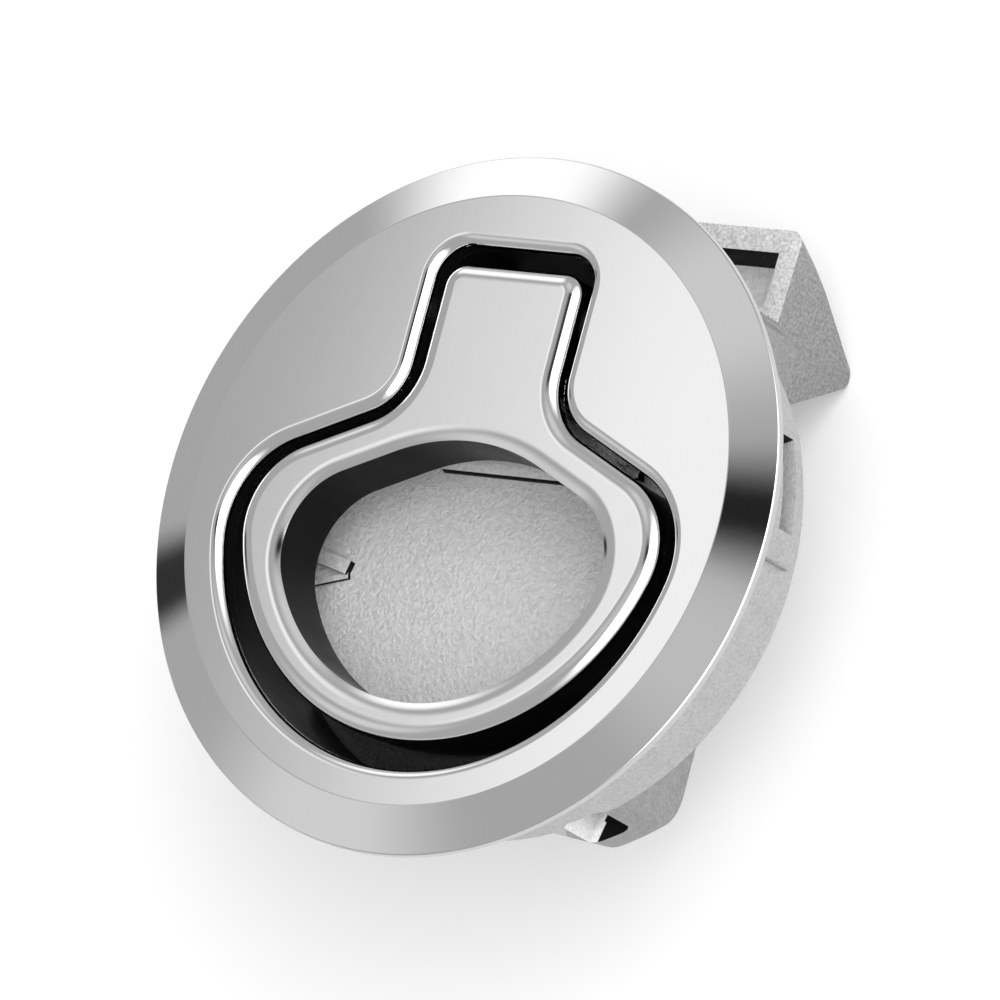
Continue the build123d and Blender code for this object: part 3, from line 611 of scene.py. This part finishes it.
def recess_finish(middle, normal):
    """The finish of a face outside the cup, by its middle and its outward direction."""
    radius = hypot(middle.x, middle.y)
    in_slot = LUG_SLOT_BOTTOM - OVERLAP < middle.z < LUG_SLOT_TOP + OVERLAP
    # slot ledges get painted light, the slots' other faces painted shade
    if in_slot and LUG_SLOT_BACK < radius < LUG_SLOT_FRONT and abs(middle.x) > LUG_SIDE_X:
        return PAINTED_LIGHT_RECESS if normal.z > TOWARDS else PAINTED_SHADE_WALL
    in_window = middle.y < WINDOW_Y and WINDOW_BOTTOM - OVERLAP < middle.z < WINDOW_TOP + OVERLAP
    # outward window jambs get painted light, the windows' other faces painted shade
    if in_window and abs(middle.x) < WINDOW_HALF and radius < BODY_R - WALL_SKIN:
        return PAINTED_LIGHT_RECESS if normal.x * middle.x > TOWARDS * abs(middle.x) else PAINTED_SHADE_WALL
    beside_cheek = CHEEK_IN < abs(middle.x) < CHEEK_OUT + CHEEK_SLACK
    on_ear = beside_cheek and middle.y > 0 and radius > BODY_R + NEAR
    on_cheek = abs(abs(middle.x) - CHEEK_OUT) < NEAR and abs(normal.x) > SIDEWAYS
    # cheeks, ears and legs get painted shade
    return PAINTED_SHADE_CHEEK if on_ear or on_cheek or middle.z < CUP_BACK else SKIN


bm = copy_below("latch_body", PLATE_CUT)
for v in bm.verts:
    if v.co.z > (PLATE_CUT - CUT_SLACK) * MM:
        v.co.z = PLATE_BITE * MM
for f in bm.faces:
    middle = f.calc_center_median() / MM
    in_plan = inside_cup(middle.x, middle.y)
    hidden = middle.z < CUP_FLOOR - NEAR or middle.z > PLATE_BITE - TOP_SLACK
    # up-facing cup faces get painted light, the cup's walls painted shade
    if in_plan and not hidden:
        f.material_index = PAINTED_LIGHT_FLOOR if f.normal.z > TOWARDS else PAINTED_SHADE_WALL
    elif not in_plan or middle.z < CUP_FLOOR:
        f.material_index = recess_finish(middle, f.normal)
cast_body = finish_mesh(bm, "cast_body", *CASTING_FINISHES, sharp=28)
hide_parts("latch_body")

# %% [markdown]
# The handle's top is a mirror too, with a soft outer edge and a shallower rolled edge round the finger
# hole. Its flat part is an odd shape with a hole, which rings can't fill. A Delaunay triangulation can:
# it takes both rims and a grid of points between them, and the grid lets the top be very slightly
# crowned, as hand polishing leaves it.

# %% Handle top
HANDLE_TOP = 2.15
BOWL_GAP = 1.35  # from the handle to the cup round the bowl
BOWL_SHIFT = 1.1  # the middle of the handle's bowl lies this far above the cup's
SHOULDER_GAP = 0.8  # the gap at the shoulders,
NECK_GAP = 1.0  # beside the neck
END_GAP = 1.6  # and at its end
HANDLE_CORNER = 2.0  # radii like those of the cup
HANDLE_FLARE = 6.0
HANDLE_SHOULDER = 7.2
HANDLE_EDGE = 1.4  # how far the outer edge's rounding reaches in
HANDLE_FALL = 1.0  # and how far it falls
HOLE_EDGE = 1.3  # the same for the finger hole, whose edge only rolls part of the way
HOLE_FALL = 0.30
HOLE_STEEPEST = 26  # degrees
EDGE_STEPS = 10
HOLE_RIM = 5.65  # from the finger hole to the cup round the bowl
HOLE_SHOULDER_RIM = 4.5  # and at the shoulders
HOLE_SHOULDER = 7.0
HOLE_CROWN = 18.0  # radius of the crown where the hole's shoulders meet
HANDLE_CROWN = 0.10
HANDLE_CUT = 0.6  # below this height the CAD model's own walls carry on
RING_MIDDLE = 12.0  # radius at which the crown is at the stated height
GRID = 0.8  # spacing of the points on the flat top
ROW_SHARE = 0.87  # spacing of their rows, as a share of it
HOLE_SLACK = 0.3  # faces this far outside the hole's outline still belong to its wall
WELD = 0.001 * MM  # points of the top that lie closer than this are one

handle = keyhole(
    BOWL_R - BOWL_GAP,
    BOWL_Y + BOWL_SHIFT,
    SHOULDER_Y - SHOULDER_GAP / lean,
    NECK_HALF - NECK_GAP,
    NECK_END - END_GAP,
    HANDLE_CORNER,
    HANDLE_FLARE,
    HANDLE_SHOULDER,
)


def finger_hole():
    """The hole's outline: a bowl under two shoulders that meet in a wide crown."""
    apex = SHOULDER_Y - HOLE_SHOULDER_RIM / lean
    crown_y = apex - HOLE_CROWN / lean
    half = []
    begin = add_bowl(half, BOWL_R - HOLE_RIM, BOWL_Y, apex, HOLE_SHOULDER)
    add_line(half, begin, (HOLE_CROWN * cos(FACING), crown_y + HOLE_CROWN * sin(FACING)), FACING)
    add_arc(half, (0, crown_y), HOLE_CROWN, FACING, pi / 2)
    return mirrored(half, crown_y + HOLE_CROWN)


def top_of_handle(x, y):
    """Height of the handle's polished top."""
    return HANDLE_TOP - HANDLE_CROWN * ((x * x + y * y) / RING_MIDDLE ** 2 - 1) / 4


def edge_rings(loop, reach, drop, steepest, side):
    """Rings up the wall and over an edge that rolls in from its steepest slope to the flat top."""
    rings = [[(x, y, HANDLE_CUT) for x, y, _, _ in loop]]
    for k in range(EDGE_STEPS + 1):
        a = steepest * (1 - k / EDGE_STEPS)
        out = side * reach * (1 - sin(a) / sin(steepest))
        fall = drop * (1 - cos(a)) / (1 - cos(steepest))
        rings.append([(x, y, top_of_handle(x, y) - fall) for x, y in moved(loop, out)])
    rings.append([(x, y, top_of_handle(x, y)) for x, y in moved(loop, side * (reach + GUARD))])
    return rings


def inside(point, loop):
    """True where a point lies inside a closed loop, by counting crossings."""
    x, y = point
    odd = False
    for (x0, y0), (x1, y1) in zip(loop, loop[1:] + loop[:1]):
        if (y0 > y) != (y1 > y) and x < x0 + (y - y0) * (x1 - x0) / (y1 - y0):
            odd = not odd
    return odd


def fill_between(bm, outer, hole, height, grid=None):
    """Triangles between an outer loop and a hole, with grid points between them if a spacing is given."""
    points = [Vector(p) for p in outer + hole]
    a = len(outer)
    b = len(hole)
    edges = [(i, (i + 1) % a) for i in range(a)] + [(a + i, a + (i + 1) % b) for i in range(b)]
    if grid:
        span = int(BOWL_R / grid) + 1
        for i in range(-span, span + 1):
            for j in range(-span, span + 1):
                p = ((i + 0.5 * (j % 2)) * grid, j * grid * ROW_SHARE)
                near = min(hypot(p[0] - q[0], p[1] - q[1]) for q in outer[::3] + hole[::3])
                if near > 0.5 * grid and inside(p, outer) and not inside(p, hole):
                    points.append(Vector(p))
    spots, _, faces, _, _, _ = delaunay_2d_cdt(points, edges, [], 1, 1e-6)
    made = [bm.verts.new((p.x * MM, p.y * MM, height(p.x, p.y) * MM)) for p in spots]
    for face in faces:
        middle = sum((spots[i] for i in face), Vector((0, 0))) / len(face)
        if inside(middle, outer) and not inside(middle, hole):
            bm.faces.new([made[i] for i in face])


hole = finger_hole()
bm = bmesh.new()
join_rings(bm, edge_rings(handle, HANDLE_EDGE, HANDLE_FALL, pi / 2, -1))
join_rings(bm, edge_rings(hole, HOLE_EDGE, HOLE_FALL, radians(HOLE_STEEPEST), 1))
fill_between(bm, moved(handle, -HANDLE_EDGE - GUARD), moved(hole, HOLE_EDGE + GUARD), top_of_handle, GRID)
fill_between(bm, moved(handle, 0), moved(hole, 0), lambda x, y: HANDLE_CUT)
bmesh.ops.remove_doubles(bm, verts=bm.verts, dist=WELD)
ring_top = finish_mesh(bm, "ring_top", "handle polish", "painted shade wall")
bm = copy_below("pull_handle", HANDLE_CUT)
ring_body = finish_mesh(bm, "ring_body", "handle polish", "painted shade wall", sharp=28)
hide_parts("pull_handle")

HOLE_SHADE_WALL = 1  # finish of the hole's wall, by its place in the list
hole_side = moved(hole, HOLE_SLACK)
# the finger hole's wall gets painted shade
for piece in (ring_top, ring_body):
    for face in piece.data.polygons:
        middle = face.center / MM
        upright = abs(face.normal.z) < TOWARDS and middle.z < HANDLE_TOP - HOLE_FALL
        if upright and inside(middle[:2], hole_side):
            face.material_index = HOLE_SHADE_WALL

# %% [markdown]
# The tongue is left as it was cast: no machining, grainy, and every edge a little soft. A copy of the CAD
# node gets its flat triangles merged into whole faces first, because a bevel then runs cleanly along real
# edges only. The strike face and the pocket's floor catch the light and the flanks lie in shade, so light
# and shade are painted into the finishes by the slope of a face: painted light on the strike face and the
# pocket's floor, painted shade on the flanks and the pocket's far wall.

# %% Bolt
BOLT_SOFT = 0.22  # softness of the cast edges
POCKET_FRONT = 26.0  # the pocket's far wall lies beyond this distance along Y
POCKET_FACING = -0.8  # and points back along Y by more than this
POCKET_FLOOR = -20.5  # its floor lies below this height
FLANK_TILT = 0.3  # faces that point up by less than this are flanks
FLAT = radians(0.5)  # triangles that meet at less than this angle are one face
EDGE = radians(25)  # and edges that turn more than this are rounded

bm = merged_copy("latch_bolt")
bmesh.ops.dissolve_limit(bm, angle_limit=FLAT, verts=bm.verts, edges=bm.edges)
sharp_edges = [e for e in bm.edges if len(e.link_faces) == 2 and e.calc_face_angle(0) > EDGE]
bmesh.ops.bevel(
    bm, geom=sharp_edges, offset=BOLT_SOFT * MM, segments=3, profile=0.5, affect="EDGES", clamp_overlap=True
)
STRIKE_LIT, FLANK_SHADE, POCKET_SHADE_WALL, POCKET_BED_LIT = range(4)  # finishes of the bolt, by their place in its list
tongue = finish_mesh(bm, "tongue", "bolt strike painted light", "bolt flank painted shade", "painted shade wall", "painted light recess", sharp=40)
for face in tongue.data.polygons:
    middle = face.center / MM
    # painted shade on the pocket's far wall and the flanks, painted light on the pocket's floor and the
    # strike face
    if face.normal.y < POCKET_FACING and middle.y > POCKET_FRONT:
        face.material_index = POCKET_SHADE_WALL
    elif face.normal.z < FLANK_TILT:
        face.material_index = FLANK_SHADE
    elif middle.z < POCKET_FLOOR:
        face.material_index = POCKET_BED_LIT
    else:
        face.material_index = STRIKE_LIT
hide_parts("latch_bolt")

# %% [markdown]
# The two springs behind the bolt are wire on a spiral path, the kind of shape Geometry Nodes are made
# for: a spiral, a small circle swept along it, and a turn to lay it along Y. A sweep written by hand would
# do as well, but the node tree keeps turns, length and wire as inputs that can be played with.

# %% Spring tree
def spring_tree():
    """A node tree that makes a compression spring with open inputs."""
    tree = bpy.data.node_groups.new("compression spring", "GeometryNodeTree")
    sockets = tree.interface
    sockets.new_socket("Geometry", in_out="OUTPUT", socket_type="NodeSocketGeometry")
    for name in ("Turns", "Length", "Radius", "Wire"):
        sockets.new_socket(name, in_out="INPUT", socket_type="NodeSocketFloat")
    sockets.new_socket("Place", in_out="INPUT", socket_type="NodeSocketVector")
    sockets.new_socket("Finish", in_out="INPUT", socket_type="NodeSocketMaterial")
    given = tree.nodes.new("NodeGroupInput")
    result = tree.nodes.new("NodeGroupOutput")
    spiral = tree.nodes.new("GeometryNodeCurveSpiral")
    spiral.inputs["Resolution"].default_value = 40
    tree.links.new(given.outputs["Turns"], spiral.inputs["Rotations"])
    tree.links.new(given.outputs["Radius"], spiral.inputs["Start Radius"])
    tree.links.new(given.outputs["Radius"], spiral.inputs["End Radius"])
    tree.links.new(given.outputs["Length"], spiral.inputs["Height"])
    wire = tree.nodes.new("GeometryNodeCurvePrimitiveCircle")
    wire.inputs["Resolution"].default_value = 12
    tree.links.new(given.outputs["Wire"], wire.inputs["Radius"])
    sweep = tree.nodes.new("GeometryNodeCurveToMesh")
    sweep.inputs["Fill Caps"].default_value = True
    tree.links.new(spiral.outputs[0], sweep.inputs["Curve"])
    tree.links.new(wire.outputs["Curve"], sweep.inputs["Profile Curve"])
    lay = tree.nodes.new("GeometryNodeTransform")
    lay.inputs["Rotation"].default_value = (-pi / 2, 0, 0)
    tree.links.new(sweep.outputs[0], lay.inputs["Geometry"])
    tree.links.new(given.outputs["Place"], lay.inputs["Translation"])
    real = tree.nodes.new("GeometryNodeRealizeInstances")
    tree.links.new(lay.outputs[0], real.inputs[0])
    paint = tree.nodes.new("GeometryNodeSetMaterial")
    tree.links.new(real.outputs[0], paint.inputs["Geometry"])
    tree.links.new(given.outputs["Finish"], paint.inputs["Material"])
    tree.links.new(paint.outputs[0], result.inputs["Geometry"])
    return tree


def grow(name, tree, values):
    """The plain mesh that a tree makes with these values, as an object of its own."""
    host = bpy.data.objects.new(name + "_host", bpy.data.meshes.new(name + "_host"))
    scene.collection.objects.link(host)
    modifier = host.modifiers.new("grow", "NODES")
    modifier.node_group = tree
    for item in tree.interface.items_tree:
        if item.in_out == "INPUT" and item.name in values:
            modifier[item.identifier] = values[item.name]
    bpy.context.view_layer.update()
    grown = host.evaluated_get(bpy.context.evaluated_depsgraph_get())
    mesh = bpy.data.meshes.new_from_object(grown)
    bpy.data.objects.remove(host)
    mesh.shade_smooth()
    mesh.set_sharp_from_angle(angle=radians(50))
    made = bpy.data.objects.new(name, mesh)
    scene.collection.objects.link(made)
    print(name, len(mesh.polygons), "faces")
    return made


# %% [markdown]
# Each spring stands between the end wall and the bottom of its hole in the bolt, so its length is the
# room between the two while the bolt is out. Both are grown from the one tree, and only their places
# differ.

# %% Both bolt springs
SPRING_START = -18.3  # their rear end, along Y
SPRING_LENGTH = 19.8
SPRING_X = 5.8
SPRING_Z = -15.3
SPRING_R = 2.0  # to the middle of the wire
SPRING_TURNS = 8.0
WIRE_R = 0.3
coil = spring_tree()
springs = []
for side_name, x in (("left", -SPRING_X), ("right", SPRING_X)):
    values = {
        "Turns": SPRING_TURNS,
        "Length": SPRING_LENGTH * MM,
        "Radius": SPRING_R * MM,
        "Wire": WIRE_R * MM,
        "Place": (x * MM, SPRING_START * MM, SPRING_Z * MM),
        "Finish": FINISH["spring wire"],
    }
    spring = grow("coil_" + side_name, coil, values)
    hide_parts("bolt_spring_" + side_name)
    springs.append(spring)

# %% [markdown]
# The small parts keep their CAD shapes and only get their finish. Turned pins and screws are bright with
# fine rings, wire is darker, and the cover is a strip of rolled sheet.

# %% Finishes of the small parts
SMALL_PARTS = {
    "hinge_pin": "turned steel",
    "guide_pin": "turned steel",
    "cover_screw_left": "turned steel",
    "cover_screw_right": "turned steel",
    "hinge_pin_clip": "spring wire",
    "guide_pin_clip": "spring wire",
    "handle_spring": "spring wire",
    "spring_cover": "rolled sheet",
}
for node, finish in SMALL_PARTS.items():
    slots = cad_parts[node].data.materials
    slots.clear()
    slots.append(FINISH[finish])
print("small parts:", len(SMALL_PARTS))

# %% [markdown]
# Last, every piece is told which moving body carries it. The springs are held at their rear end by the
# housing, and each gets a mesh of its own; on the real latch they shorten as the bolt slides back.

# %% What rides on what
for piece in (plate, cast_body):
    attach(piece, "housing")
for piece in (ring_top, ring_body):
    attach(piece, "handle")
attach(tongue, "bolt")
for spring in springs:
    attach(spring, "housing")
    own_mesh(spring)
